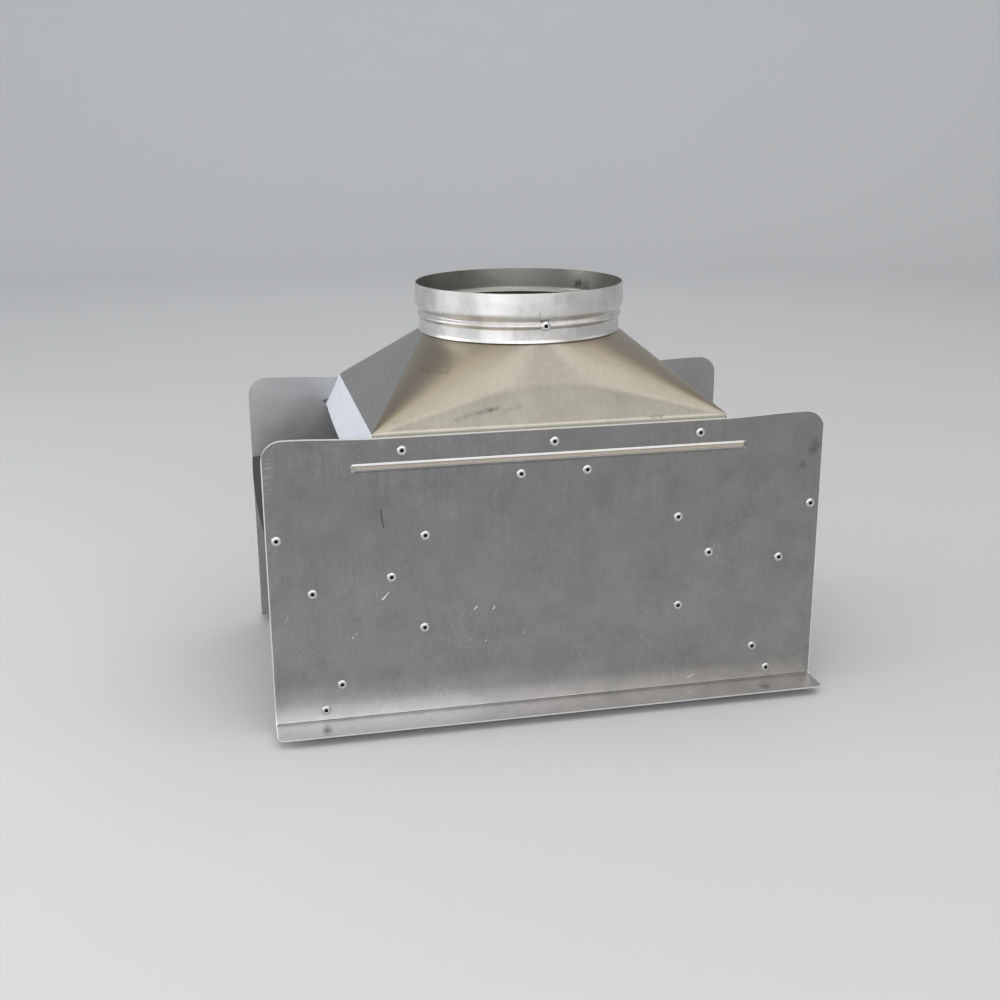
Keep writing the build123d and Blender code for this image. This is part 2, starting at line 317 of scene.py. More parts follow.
def hood_columns():
    """Points round the hood's base and the matching points round its neck, seen from above."""
    sides = [
        ((-1, -1), (1, -1), hood_front_steps),
        ((1, -1), (1, 1), hood_side_steps),
        ((1, 1), (-1, 1), hood_front_steps),
        ((-1, 1), (-1, -1), hood_side_steps),
    ]
    base = []
    neck = []
    for order, (start, end, count) in enumerate(sides):
        for step in range(count):
            share = step / count
            x = start[0] + (end[0] - start[0]) * share
            y = start[1] + (end[1] - start[1]) * share
            base.append((x * hood_half_width, y * hood_half_depth))
            turn = math.radians(225 + 90 * (order + share))
            neck.append((neck_radius * math.cos(turn), neck_radius * math.sin(turn)))
    return np.array(base), np.array(neck)


def hood():
    """Hood with its neck, the bend along its front and rear, two skirts and two riveting flanges."""
    base, neck = hood_columns()
    columns = len(base)
    low_rows = [0, 0.004, 0.008, 0.012, 0.016, 0.021, 0.028, 0.038, 0.052]
    rows = []
    corners = []
    for share in low_rows + list(np.linspace(0.07, 1, 42)):
        place = base + (neck - base) * share
        height, corner = hood_surface(place[:, 0], place[:, 1])
        rows.append(np.column_stack([place, hood_level + height]))
        corners.append(corner)
    for level in neck_rows:
        rows.append(np.column_stack([neck, np.full(columns, neck_root + level)]))
        corners.append(np.zeros(columns))
    count = len(rows)
    points = [tuple(point) for point in np.stack(rows, axis=1).reshape(-1, 3)]
    corners = list(np.stack(corners, axis=1).reshape(-1))
    faces = grid_faces(columns, count, closed=True)

    for sign in (-1, 1):
        edge = [i for i in range(columns) if abs(base[i][0] - sign * hood_half_width) < 1e-6]
        edge.sort(key=lambda i: sign * base[i][1])
        hang(points, corners, faces, [(i * count, base[i]) for i in edge], skirt_place)
        edge = [i for i in range(columns) if abs(base[i][1] - sign * hood_half_depth) < 1e-6]
        edge.sort(key=lambda i: -sign * base[i][0])
        hang(points, corners, faces, [(i * count, base[i]) for i in edge], flange_place)
    points = [bent(*point) for point in points]
    piece = new_piece("hood", points, faces, "hood")
    tint = piece.data.attributes.new("corner", "FLOAT", "POINT")
    tint.data.foreach_set("value", corners)
    give_thickness(piece, hood_bevel)
    return piece


def bent(x, y, z):
    """Draws a point in where the sheet bends from the steep face into the riveting flange."""
    half = (math.pi / 2 - face_angle) / 2
    reach = base_bend * math.tan(half)
    away = max(abs(z - hood_level) / math.cos(half), (hood_half_depth - abs(y)) / math.sin(2 * half))
    if abs(x) > hood_half_width or away > reach:
        return x, y, z
    inward = (reach - away)**2 / (2 * base_bend)
    return x, y - math.copysign(inward * math.cos(half), y), z - inward * math.sin(half)


def skirt_place(xy, share):
    """A point of a side skirt, which bows out a little in the middle."""
    side = math.copysign(1, xy[0])
    bow = skirt_bow * (1 - (xy[1] / hood_half_depth)**2) * share
    x = xy[0] + side * ((hood_high.x - hood_half_width) * share + bow)
    y = np.clip(xy[1], seat_gap - hood_half_depth, hood_half_depth - seat_gap)
    return x, y, hood_level + (hood_low.z - hood_level) * share


def flange_place(xy, share):
    """A point of a riveting flange, which narrows a little below the hood's corners."""
    narrow = 1 - hood_flange_end / hood_half_width * min(share / 0.3, 1)
    return xy[0] * narrow, xy[1], hood_level - hood_flange * share


def hang(points, corners, faces, edge, place):
    """Adds a strip of sheet below a row of edge points: place gives a point for a share of its drop."""
    shares = [0.015, 0.03, 0.045, 0.06, 0.08, 0.1, 0.3, 0.5, 0.7, 0.9, 1.0]
    strips = []
    for index, xy in edge:
        column = [index]
        for share in shares:
            column.append(len(points))
            points.append(tuple(float(value) for value in place(xy, share)))
            corners.append(0.0)
        strips.append(column)
    for left, right in zip(strips, strips[1:]):
        for row in range(len(shares)):
            faces.append((left[row], left[row + 1], right[row + 1], right[row]))


# Collar and rivets
def rounded(points, radii, steps=6):
    """Profile with its inner corners rounded."""
    line = [np.array(points[0], float)]
    for before, corner, after, radius in zip(points, points[1:], points[2:], radii):
        corner = np.array(corner, float)
        back = np.array(before, float) - corner
        ahead = np.array(after, float) - corner
        back_length = np.linalg.norm(back)
        ahead_length = np.linalg.norm(ahead)
        back /= back_length
        ahead /= ahead_length
        half = math.acos(np.clip(back @ ahead, -1, 1)) / 2
        reach = min(radius / math.tan(half), 0.48 * back_length, 0.48 * ahead_length)
        start = corner + back * reach
        end = corner + ahead * reach
        for share in np.linspace(0, 1, steps + 1):
            line.append((1 - share)**2 * start + 2 * share * (1 - share) * corner + share**2 * end)
    line.append(np.array(points[-1], float))
    return line


def lathe(profile, segments):
    """Points and faces of a profile, radius and height, turned about the Z axis."""
    points = []
    for step in range(segments):
        turn = 2 * math.pi * step / segments
        points += [(r * math.cos(turn), r * math.sin(turn), z) for r, z in profile]
    return points, grid_faces(segments, len(profile), closed=True)


def collar():
    """Rolled collar with rounded groove and ridge, and a lower edge that flares a little."""
    corners = [
        (socket_radius, rim_level),
        (socket_radius, socket_end),
        (groove_radius, groove_level),
        (ridge_radius + crest_allowance, ridge_level),
        (groove_radius, band_level),
        (groove_radius + band_flare, neck_root + foot_height),
        (groove_radius + foot_flare, neck_root),
    ]
    profile = rounded(corners, collar_bends)
    profile.insert(1, np.array([socket_radius, rim_level - rim_band]))
    points, faces = lathe(profile, collar_segments)
    faces = [face[::-1] for face in faces]
    piece = new_piece("collar", points, faces, "collar")
    solid = piece.modifiers.new("sheet", "SOLIDIFY")
    solid.thickness = sheet
    solid.offset = -1
    solid.material_offset = 1
    break_edges(piece, collar_bevel)
    return piece


def rivet_profile(grip):
    """Section of a blind rivet through sheets of the given thickness: the mandrel, then the rest."""
    stub = [
        (0, mandrel_floor + 0.15 * MM),
        (0.45 * MM, mandrel_floor + 0.1 * MM),
        (0.75 * MM, mandrel_floor),
        (mandrel_hole - 0.1 * MM, mandrel_floor),
        (mandrel_hole, rivet_rise - 0.3 * MM),
    ]
    inner = mandrel_hole + 0.3 * MM
    dome = [(mandrel_hole + 0.1 * MM, rivet_rise - 0.06 * MM), (inner, rivet_rise)]
    for turn in np.linspace(0, math.pi / 2, 10)[1:]:
        radius = inner + (rivet_head - inner) * math.sin(turn)
        dome.append((radius, 0.2 * MM + (rivet_rise - 0.2 * MM) * math.cos(turn)))
    end = grip + rivet_tail_length
    tail = [
        (rivet_head - 0.04 * MM, 0.02 * MM),
        (rivet_head - 0.3 * MM, 0),
        (rivet_shank, 0),
        (rivet_shank, -grip),
        (rivet_tail - 0.3 * MM, -grip),
        (rivet_tail, -grip - 0.3 * MM),
        (rivet_tail, -end + 0.7 * MM),
        (rivet_tail - 0.7 * MM, -end),
        (0, -end),
    ]
    return stub, dome + tail


def rivet_places(node):
    """Middle and outward axis of each rivet in a node of the frame, the middle under its head."""
    groups = []
    for vertex in nodes[node].data.vertices:
        for group in groups:
            if (group[0] - vertex.co).length < 3 * rivet_head:
                group.append(vertex.co.copy())
                break
        else:
            groups.append([vertex.co.copy()])
    places = []
    for group in groups:
        middle = sum(group, Vector()) / len(group)
        if node == "collar_rivets":
            axis = Vector((middle.x, middle.y, 0)).normalized()
        else:
            axis = Vector((0, math.copysign(1, middle.y), 0))
        outer = max(point.dot(axis) for point in group)
        spread = [point - axis * point.dot(axis) for point in group]
        low = Vector([min(point[k] for point in spread) for k in range(3)])
        high = Vector([max(point[k] for point in spread) for k in range(3)])
        places.append(((low + high) / 2 + axis * (outer - rivet_rise), axis))
    return places


def rivets(node, metal, mandrel):
    """Round rivets that stand for a node's, with the hole of the broken mandrel in each head."""
    grip = 2 * sheet
    if node == "collar_rivets":
        grip = ridge_radius - neck_radius + sheet + collar_tail_clearance
    stub, rest = rivet_profile(grip)
    one, one_faces = lathe(stub + rest, rivet_segments)
    rows = len(stub) + len(rest) - 1
    points = []
    faces = []
    for order, (middle, axis) in enumerate(rivet_places(node)):
        swing = math.radians(rivet_lean * math.sin(7.3 * order + len(node)))
        lean = Matrix.Rotation(swing, 4, "X")
        turn = axis.to_track_quat("Z", "Y").to_matrix().to_4x4() @ lean
        start = len(points)
        points += [tuple(turn @ Vector(point) + middle) for point in one]
        faces += [tuple(start + index for index in face) for face in one_faces]
    piece = new_piece(node, points, faces, node)
    give(piece, metal, mandrel)
    inside = [int(index % rows < len(stub)) for index in range(len(faces))]
    piece.data.polygons.foreach_set("material_index", inside)
    piece.data.update()


# Materials
class Nodes:
    """Short calls for building one material's nodes."""

    def __init__(self, name):
        self.material = bpy.data.materials.new(name)
        self.material.use_nodes = True
        self.tree = self.material.node_tree
        self.shader = self.tree.nodes["Principled BSDF"]
        self.coordinates = self.tree.nodes.new("ShaderNodeTexCoord")

    def add(self, kind, **settings):
        """New node with the given settings."""
        node = self.tree.nodes.new(kind)
        for key, value in settings.items():
            setattr(node, key, value)
        return node

    def link(self, source, target):
        self.tree.links.new(source, target)

    def put(self, socket, value):
        """Links a socket to another, or sets its value."""
        if isinstance(value, bpy.types.NodeSocket):
            self.link(value, socket)
        else:
            socket.default_value = value

    def math(self, operation, a, b=0.0, clamp=False):
        node = self.add("ShaderNodeMath", operation=operation, use_clamp=clamp)
        self.put(node.inputs[0], a)
        self.put(node.inputs[1], b)
        return node.outputs[0]

    def product(self, a, b):
        return self.math("MULTIPLY", a, b)

    def total(self, a, b, clamp=False):
        return self.math("ADD", a, b, clamp)

    def around(self, value, reach):
        """A value round 0.5 made into one round 0, times its reach."""
        return self.product(self.math("SUBTRACT", value, 0.5), reach)

    def axis(self, letter):
        """One coordinate of the place in the part."""
        split = self.add("ShaderNodeSeparateXYZ")
        self.link(self.coordinates.outputs["Object"], split.inputs[0])
        return split.outputs[letter]

    def scaled(self, colour, share):
        """Colour times one number."""
        node = self.add("ShaderNodeVectorMath", operation="SCALE")
        self.link(colour, node.inputs[0])
        self.put(node.inputs["Scale"], share)
        return node.outputs[0]

    def tinted(self, colour, tint):
        """Colour times another, channel by channel."""
        node = self.add("ShaderNodeVectorMath", operation="MULTIPLY")
        self.link(colour, node.inputs[0])
        node.inputs[1].default_value = tint
        return node.outputs[0]

    def noise(self, vector, scale, detail=3.0, roughness=0.55, stretch=(1, 1, 1), distortion=0.0):
        """Noise from 0 to 1, with a scale for each axis in stretch."""
        mapping = self.add("ShaderNodeMapping")
        mapping.inputs["Scale"].default_value = stretch
        self.link(vector, mapping.inputs["Vector"])
        node = self.add("ShaderNodeTexNoise")
        self.link(mapping.outputs[0], node.inputs["Vector"])
        node.inputs["Scale"].default_value = scale
        node.inputs["Detail"].default_value = detail
        node.inputs["Roughness"].default_value = roughness
        node.inputs["Distortion"].default_value = distortion
        return node.outputs["Fac"]

    def span(self, value, low, high, to_low=0.0, to_high=1.0):
        """Soft ramp of a value from one range to another, level outside it."""
        node = self.add("ShaderNodeMapRange", interpolation_type="SMOOTHSTEP")
        self.put(node.inputs["Value"], value)
        node.inputs["From Min"].default_value = low
        node.inputs["From Max"].default_value = high
        node.inputs["To Min"].default_value = to_low
        node.inputs["To Max"].default_value = to_high
        return node.outputs[0]

    def mix(self, share, a, b):
        """Colour a where the share is 0 and b where it is 1."""
        node = self.add("ShaderNodeMix", data_type="RGBA")
        self.put(node.inputs[0], share)
        self.put(node.inputs[6], a)
        self.put(node.inputs[7], b)
        return node.outputs[2]

    def segment(self, start, end, width):
        """Mask of a thin line between two points of the part."""
        start = Vector(start)
        run = Vector(end) - start
        offset = self.add("ShaderNodeVectorMath", operation="SUBTRACT")
        self.link(self.coordinates.outputs["Object"], offset.inputs[0])
        offset.inputs[1].default_value = start
        along = self.add("ShaderNodeVectorMath", operation="DOT_PRODUCT")
        self.link(offset.outputs[0], along.inputs[0])
        along.inputs[1].default_value = run / max(run.length_squared, 1e-12)
        share = self.math("MAXIMUM", along.outputs["Value"], 0.0)
        share = self.math("MINIMUM", share, 1.0)
        foot = self.add("ShaderNodeVectorMath", operation="SCALE")
        foot.inputs[0].default_value = run
        self.link(share, foot.inputs["Scale"])
        gap = self.add("ShaderNodeVectorMath", operation="DISTANCE")
        self.link(offset.outputs[0], gap.inputs[0])
        self.link(foot.outputs[0], gap.inputs[1])
        return self.span(gap.outputs["Value"], 0.35 * width, width, 1.0, 0.0)

    def spot(self, middle, radius, ragged=0.5):
        """Mask of a soft ragged spot round a point of the part."""
        gap = self.add("ShaderNodeVectorMath", operation="DISTANCE")
        self.link(self.coordinates.outputs["Object"], gap.inputs[0])
        gap.inputs[1].default_value = middle
        broken = self.noise(self.coordinates.outputs["Object"], 260.0, 4.0)
        reach = self.product(self.math("SUBTRACT", broken, 0.5), 2 * ragged * radius)
        distance = self.total(gap.outputs["Value"], reach)
        return self.span(distance, 0.2 * radius, radius, 1.0, 0.0)


def sheet_metal(name, colour, dark, roughness, vector_name="Object", grain=(1, 1, 1)):
    """Mill-finished sheet: cloudy mottling, short strokes along the grain and fine flecks."""
    made = Nodes(name)
    vector = made.coordinates.outputs[vector_name]
    clouds = made.noise(vector, 32.0, 4.0, 0.6)
    strokes = made.noise(vector, 420.0, 4.0, 0.6, grain, 1.6)
    flecks = made.noise(vector, 1300.0, 2.0, 0.5)
    tone = made.around(clouds, 1.2)
    patches = made.span(made.noise(vector, 17.0, 2.0), 0.40, 0.62, 0.2, 1.0)
    tone = made.total(tone, made.product(made.span(strokes, 0.46, 0.78, -0.1, 0.55), patches))
    tone = made.total(tone, made.around(flecks, 0.35))
    share = made.total(tone, 0.45, clamp=True)
    made.colour = made.mix(share, (*dark, 1), (*colour, 1))
    made.rough = made.total(made.around(clouds, 0.10), roughness)
    made.rough = made.total(made.rough, made.around(strokes, 0.14))
    bump = made.add("ShaderNodeBump")
    bump.inputs["Strength"].default_value = 0.12
    bump.inputs["Distance"].default_value = 0.1 * MM
    made.link(made.total(strokes, made.product(flecks, 0.5)), bump.inputs["Height"])
    made.link(bump.outputs[0], made.shader.inputs["Normal"])
    made.shader.inputs["Metallic"].default_value = 1.0
    return made


def finish_metal(made):
    """Joins the made colour and roughness to the shader."""
    made.link(made.colour, made.shader.inputs["Base Color"])
    made.link(made.rough, made.shader.inputs["Roughness"])
    return made.material


def stain_and_shade(made, mask, amount, colour=(0.05, 0.045, 0.04)):
    """Lays the given colour where the mask is, for real stains and marks and for painted shade in the
    plates' fold.
    """
    made.colour = made.mix(made.product(mask, amount), made.colour, (*colour, 1))
    made.rough = made.total(made.rough, made.product(mask, 0.1 * amount))


def plate_material():
    """Plates: mottled grey, with painted light near the fold, a painted shade line in the fold, painted
    highlights and a painted reflection on the bead, marks, and painted highlights along the edges.
    """
    grain = (1, 0.4, 1)
    made = sheet_metal("plate_sheet", (0.36, 0.358, 0.357), (0.218, 0.217, 0.218), 0.30, "UV", grain)
    plate_tone(made)
    plate_crease(made)
    bead_reflections(made)
    plate_nicks(made)
    plate_ticks(made)
    plate_stains(made)
    plate_edge_highlight(made)
    return finish_metal(made)


def plate_tone(made):
    """Grey of the plates, streaked in patches, with painted light and shade: darker towards the top,
    brighter near the fold and on the flange, cooler left and warmer right.
    """
    height = made.axis("Z")
    across = made.axis("X")
    unfolded = made.coordinates.outputs["UV"]
    tint = made.span(made.noise(unfolded, 75.0, 3.0), 0.35, 0.65, 0.0, 0.3)
    made.colour = made.mix(tint, made.colour, (0.315, 0.305, 0.31, 1))
    # Painted shade: darker towards the top, a little darker at the upper left and lighter at the upper
    # right.
    level = made.span(height, 0.03, 0.19, 1.08, 0.86)
    shade = made.product(made.span(height, 0.08, 0.19), made.span(across, -0.20, 0.10, -0.04, 0.02))
    level = made.total(level, shade)
    streaks = made.noise(unfolded, 190.0, 3.0, 0.6, (1, 0.03, 1))
    patches = made.span(made.noise(unfolded, 16.0, 2.0), 0.4, 0.62)
    upper = made.product(made.span(height, 0.06, 0.20, 0.0, 0.42), patches)
    level = made.total(level, made.product(made.around(streaks, 1.0), upper))
    # Painted light: the sheet brightens near the fold, most at the left, standing for the flange's
    # reflection in the plate.
    painted_fold_light = made.span(height, 0.005, 0.040, 0.95, 0.0)
    painted_fold_light = made.product(painted_fold_light, made.span(across, -0.12, 0.12, 1.0, 0.1))
    # Painted light on the flange, set from left to right.
    flange = made.span(height, flange_top + 0.1 * MM, flange_top + 0.3 * MM, 1.0, 0.0)
    flange = made.product(flange, made.span(across, -0.05, 0.10, -0.25, 0.5))
    painted_fold_light = made.total(painted_fold_light, flange)
    made.colour = made.scaled(made.colour, made.total(level, painted_fold_light))
    # Painted light: a cool tint on the left and a warm one on the right.
    cool = made.tinted(made.colour, (0.995, 0.992, 1.008))
    warm = made.tinted(made.colour, (1.015, 1.0, 0.97))
    made.colour = made.mix(made.span(across, -0.15, 0.15), cool, warm)


def plate_crease(made):
    """Painted shade: a dark line in the fold above the flange."""
    height = made.axis("Z")
    crease = made.span(height, flange_top + 0.12 * MM, flange_top + 0.3 * MM)
    above = made.span(height, flange_top + 0.6 * MM, flange_top + 1.1 * MM, 1.0, 0.0)
    # Painted shade in the fold.
    stain_and_shade(made, made.product(crease, above), 0.8)


def bead_reflections(made):
    """Painted highlights and a painted reflection along the bead, as bright, tan and bright bands: middle
    above its axis, half width, amount and colour.
    """
    height = made.axis("Z")
    aside = made.math("ABSOLUTE", made.axis("X"))
    on_bead = made.span(aside, bead_half_length + 1.8 * MM, bead_half_length + 3.2 * MM, 1.0, 0.0)
    bands = [
        (2.5, 0.75, 0.6, (0.96, 0.955, 0.94)),
        (0.7, 0.9, 0.6, (0.40, 0.335, 0.26)),
        (-1.3, 1.25, 0.85, (0.93, 0.92, 0.90)),
    ]
    # Painted reflections: the bright bands are painted highlights and the tan band a painted dark
    # reflection.
    for middle, half, amount, colour in bands:
        gap = made.math("ABSOLUTE", made.math("SUBTRACT", height, bead_level + middle * MM))
        band = made.product(made.span(gap, 0.5 * half * MM, half * MM, amount, 0.0), on_bead)
        made.colour = made.mix(band, made.colour, (*colour, 1))


def plate_nicks(made):
    """Bright nicks in the front plate: start and end in x and z, width and amount."""
    nicks = [
        ((-120.7, 92.8), (-118.6, 94.8), 0.75, 1.0),
        ((-118.6, 94.8), (-116.0, 97.8), 0.5, 1.0),
        ((-56.9, 80.2), (-54.8, 82.2), 0.6, 0.9),
        ((-43.6, 79.1), (-42.4, 81.0), 0.6, 0.9),
        ((-142.0, 66.4), (-141.4, 66.9), 0.5, 0.9),
        ((-139.6, 69.2), (-139.2, 69.6), 0.5, 0.9),
        ((101.0, 12.4), (105.6, 14.4), 0.5, 0.7),
        ((-186.6, 81.8), (-184.8, 86.0), 0.4, 0.3),
        ((-22.0, 58.6), (-21.6, 61.0), 0.4, 0.6),
        ((-49.4, 55.6), (-48.6, 56.2), 0.5, 0.8),
    ]
    for (x0, z0), (x1, z1), width, amount in nicks:
        start = (x0 * MM, -outer_face, z0 * MM)
        end = (x1 * MM, -outer_face, z1 * MM)
        mask = made.segment(start, end, width * MM)
        made.colour = made.mix(made.product(mask, amount), made.colour, (0.95, 0.94, 0.92, 1))


def plate_ticks(made):
    """Short level scratches beside the plates' left edge, near the top."""
    height = made.axis("Z")
    ticks = made.noise(made.coordinates.outputs["Object"], 1.0, 2.0, 0.5, (90, 90, 900))
    ticks = made.span(ticks, 0.55, 0.7)
    ticks = made.product(ticks, made.span(made.axis("X"), -0.194, -0.188, 1.0, 0.0))
    ticks = made.product(ticks, made.span(height, 0.155, 0.180))
    ticks = made.product(ticks, made.span(height, 0.194, 0.199, 1.0, 0.0))
    made.colour = made.mix(made.product(ticks, 0.28), made.colour, (0.8, 0.79, 0.78, 1))


def plate_stains(made):
    """Dark score in the front plate, smudges by its right edge and spots on its flange."""
    face = -outer_face
    score = made.segment((-119.9 * MM, face, 157.0 * MM), (-118.4 * MM, face, 144.0 * MM), 0.65 * MM)
    stain_and_shade(made, score, 0.7)
    for x, z, radius in ((191.0, 183.5, 7.0), (190.0, 178.5, 5.0), (182.0, 168.5, 4.0)):
        stain_and_shade(made, made.spot((x * MM, face, z * MM), radius * MM, 0.9), 0.3)
    for x, y, radius in ((-163.5, -123.3, 5.0), (154.9, -122.8, 6.0)):
        stain_and_shade(made, made.spot((x * MM, y * MM, flange_top), radius * MM), 0.4)


def plate_edge_highlight(made):
    """Painted highlight along the plates' top and side edges."""
    aside = made.math("ABSOLUTE", made.axis("X"))
    run = made.add("ShaderNodeSeparateXYZ")
    made.link(made.coordinates.outputs["UV"], run.inputs[0])
    edge_highlight = made.span(run.outputs["Y"], 0.5 * edge_highlight_width, edge_highlight_width, 1.0, 0.0)
    sides = made.span(aside, side_edge - edge_highlight_width, side_edge - 0.5 * edge_highlight_width)
    edge_highlight = made.math("MAXIMUM", edge_highlight, sides)
    # Painted highlight along the edges.
    made.colour = made.mix(made.product(edge_highlight, 0.85), made.colour, (0.96, 0.955, 0.95, 1))


def plate_inside_material():
    """Inner faces of the plates: paler than the outer ones as painted light, and darker towards the inlet
    and the right as painted shade.
    """
    made = sheet_metal("plate_inside", (0.59, 0.595, 0.61), (0.45, 0.455, 0.47), 0.40)
    made.shader.inputs["Metallic"].default_value = 0.7
    # Painted shade: darker towards the inlet and towards the right.
    made.colour = made.scaled(made.colour, made.span(made.axis("Z"), 0.04, 0.20, 0.75, 0.95))
    made.colour = made.scaled(made.colour, made.span(made.axis("X"), 0.08, 0.17, 1.0, 0.6))
    return finish_metal(made)


def hood_material():
    """Hood: grey sides, painted light that warms the front and rear and pales the skirts, painted
    highlights beside the drawn corners, tan drawn corners, streaks and marks.
    """
    made = sheet_metal("hood_sheet", (0.437, 0.437, 0.432), (0.33, 0.33, 0.325), 0.36)
    hood_tone(made)
    hood_corners(made)
    hood_marks(made)
    return finish_metal(made)


def hood_tone(made):
    """Painted light by the way that the sheet faces: a warm tint on the front and rear, and matt pale
    skirts.
    """
    facing = made.add("ShaderNodeSeparateXYZ")
    made.link(made.coordinates.outputs["Normal"], facing.inputs[0])
    # Painted light: a warm tint where the sheet faces front or rear.
    front = made.span(made.math("ABSOLUTE", facing.outputs["Y"]), 0.2, 0.5)
    made.colour = made.mix(front, made.colour, made.tinted(made.colour, (1.0, 0.955, 0.83)))
    # Painted light: pale bluish skirts, made matt.
    skirt = made.span(made.math("ABSOLUTE", facing.outputs["X"]), 0.77, 0.87)
    made.colour = made.mix(made.product(skirt, 0.9), made.colour, (0.665, 0.692, 0.731, 1))
    made.link(made.span(skirt, 0.0, 1.0, 1.0, 0.0), made.shader.inputs["Metallic"])
    made.link(made.span(skirt, 0.0, 1.0, 0.5, 0.0), made.shader.inputs["Specular IOR Level"])


def hood_corners(made):
    """Streaks down the hood, with painted highlights beside the drawn corners and a tan tint in them."""
    corner = made.add("ShaderNodeAttribute", attribute_name="corner").outputs["Fac"]
    streaks = made.noise(made.coordinates.outputs["Object"], 1.0, 3.0, 0.6, (330, 330, 30))
    made.colour = made.scaled(made.colour, made.total(made.around(streaks, 0.25), 1.0))
    # Painted highlight in lines beside the drawn corners.
    leg = made.product(made.span(corner, 0.0, 0.10), made.span(corner, 0.12, 0.40, 1.0, 0.0))
    made.colour = made.scaled(made.colour, made.total(made.product(leg, 0.22), 1.0))
    corner_tan = made.product(corner, made.span(streaks, 0.2, 0.8, 0.6, 1.0))
    made.colour = made.mix(made.product(corner_tan, 0.8), made.colour, (0.40, 0.33, 0.23, 1))


def hood_marks(made):
    """Scuff on the left front corner and smudges along the front: start, end, width and amount."""
    broken = made.span(made.noise(made.coordinates.outputs["Object"], 320.0, 4.0, 0.65), 0.32, 0.62)
    scuff = [(-82.9, -59.1, 241.7), (-79.3, -66.8, 240.9), (-68.4, -76.0, 241.1), (-64.3, -72.6, 244.0)]
    for start, end in zip(scuff, scuff[1:] + scuff[:1]):
        mask = made.segment(Vector(start) * MM, Vector(end) * MM, 2.2 * MM)
        stain_and_shade(made, made.product(mask, broken), 0.24, (0.15, 0.11, 0.06))
    smudges = [
        ((-67.0, -103.4, 213.8), (-58.6, -102.0, 216.4), 2.2, 0.2),
        ((-58.6, -102.0, 216.4), (-51.6, -101.2, 218.2), 2.4, 0.3),
        ((-51.6, -101.2, 218.2), (-43.2, -100.6, 219.3), 2.4, 0.5),
        ((-43.2, -100.6, 219.3), (-38.3, -100.2, 220.4), 2.0, 0.55),
        ((-32.4, -101.2, 218.2), (-22.5, -100.2, 220.2), 2.6, 0.25),
        ((67.9, -105.5, 209.4), (76.5, -105.4, 209.6), 1.6, 0.5),
    ]
    for start, end, width, amount in smudges:
        mask = made.segment(Vector(start) * MM, Vector(end) * MM, width * MM)
        stain_and_shade(made, made.product(mask, broken), amount, (0.10, 0.085, 0.07))


def collar_material():
    """Outside of the collar: bright, with cloudy handling marks, two stains and a tick."""
    made = sheet_metal("collar_sheet", (0.82, 0.80, 0.785), (0.65, 0.632, 0.618), 0.37, grain=(1, 1, 0.5))
    patches = made.noise(made.coordinates.outputs["Object"], 60.0, 4.0, 0.65, (1, 1, 0.7), 0.8)
    made.colour = made.scaled(made.colour, made.span(patches, 0.38, 0.68, 1.0, 0.84))
    for x, y, z, radius, amount in ((35.0, -67.8, 283.0, 7.0, 0.25), (-73.0, -22.0, 283.0, 9.0, 0.2)):
        mask = made.spot((x * MM, y * MM, z * MM), radius * MM, 0.9)
        stain_and_shade(made, mask, amount, (0.38, 0.35, 0.32))
    tick_start = Vector((-2.7, -76.3, 279.6)) * MM
    tick_end = Vector((-3.1, -76.2, 277.2)) * MM
    stain_and_shade(made, made.segment(tick_start, tick_end, 0.5 * MM), 0.5)
    return finish_metal(made)


def collar_inside_material():
    """Inside of the collar: duller, with a dark smudge of two spots."""
    made = sheet_metal("collar_inside", (0.42, 0.41, 0.385), (0.29, 0.28, 0.26), 0.40)
    stain_and_shade(made, made.spot((58.0 * MM, 48.2 * MM, 282.0 * MM), 5.0 * MM, 0.8), 0.8)
    stain_and_shade(made, made.spot((62.0 * MM, 43.0 * MM, 280.5 * MM), 9.0 * MM, 0.8), 0.45)
    return finish_metal(made)


def inner_material():
    """Inner sheets: made dark as painted shade inside the part."""
    return finish_metal(sheet_metal("inner_sheet", (0.115, 0.112, 0.10), (0.05, 0.049, 0.043), 0.45))


def rivet_material():
    """Bright blind rivets."""
    return finish_metal(sheet_metal("rivet_metal", (0.68, 0.678, 0.672), (0.54, 0.538, 0.532), 0.25))


def mandrel_material():
    """Broken steel mandrel and the shade inside its hole."""
    made = sheet_metal("mandrel", (0.016, 0.015, 0.014), (0.006, 0.006, 0.006), 0.6)
    made.shader.inputs["Metallic"].default_value = 0.0
    made.shader.inputs["Specular IOR Level"].default_value = 0.05
    return finish_metal(made)


def cut_edge_material():
    """Bright sheared edge of the sheet."""
    return finish_metal(sheet_metal("cut_edge", (0.93, 0.925, 0.92), (0.78, 0.775, 0.77), 0.36))


def give(piece, *materials):
    """Puts the materials in the piece's slots, in order."""
    slots = piece.data.materials
    for order, material in enumerate(materials):
        if order < len(slots):
            slots[order] = material
        else:
            slots.append(material)


# Stage
def floor():
    """Pale round floor that curves up into a backdrop on every side."""
    centre = 0.6
    flat = 2.6
    curve = 1.2
    wall_top = 3.4
    segments = 96
    profile = [(0.0, 0.0), (centre, 0.0), (flat, 0.0)]
    for turn in np.linspace(0, math.pi / 2, 17)[1:]:
        profile.append((flat + curve * math.sin(turn), curve * (1 - math.cos(turn))))
    profile.append((flat + curve, wall_top))
    points, faces = lathe(profile, segments)
    mesh = bpy.data.meshes.new("floor")
    mesh.from_pydata(points, [], faces)
    mesh.polygons.foreach_set("use_smooth", [True] * len(mesh.polygons))
    ground = bpy.data.objects.new("floor", mesh)
    bpy.context.scene.collection.objects.link(ground)
    made = Nodes("floor")
    made.shader.inputs["Base Color"].default_value = (0.64, 0.65, 0.66, 1)
    made.shader.inputs["Roughness"].default_value = 0.7
    made.shader.inputs["Specular IOR Level"].default_value = 0.2
    give(ground, made.material)


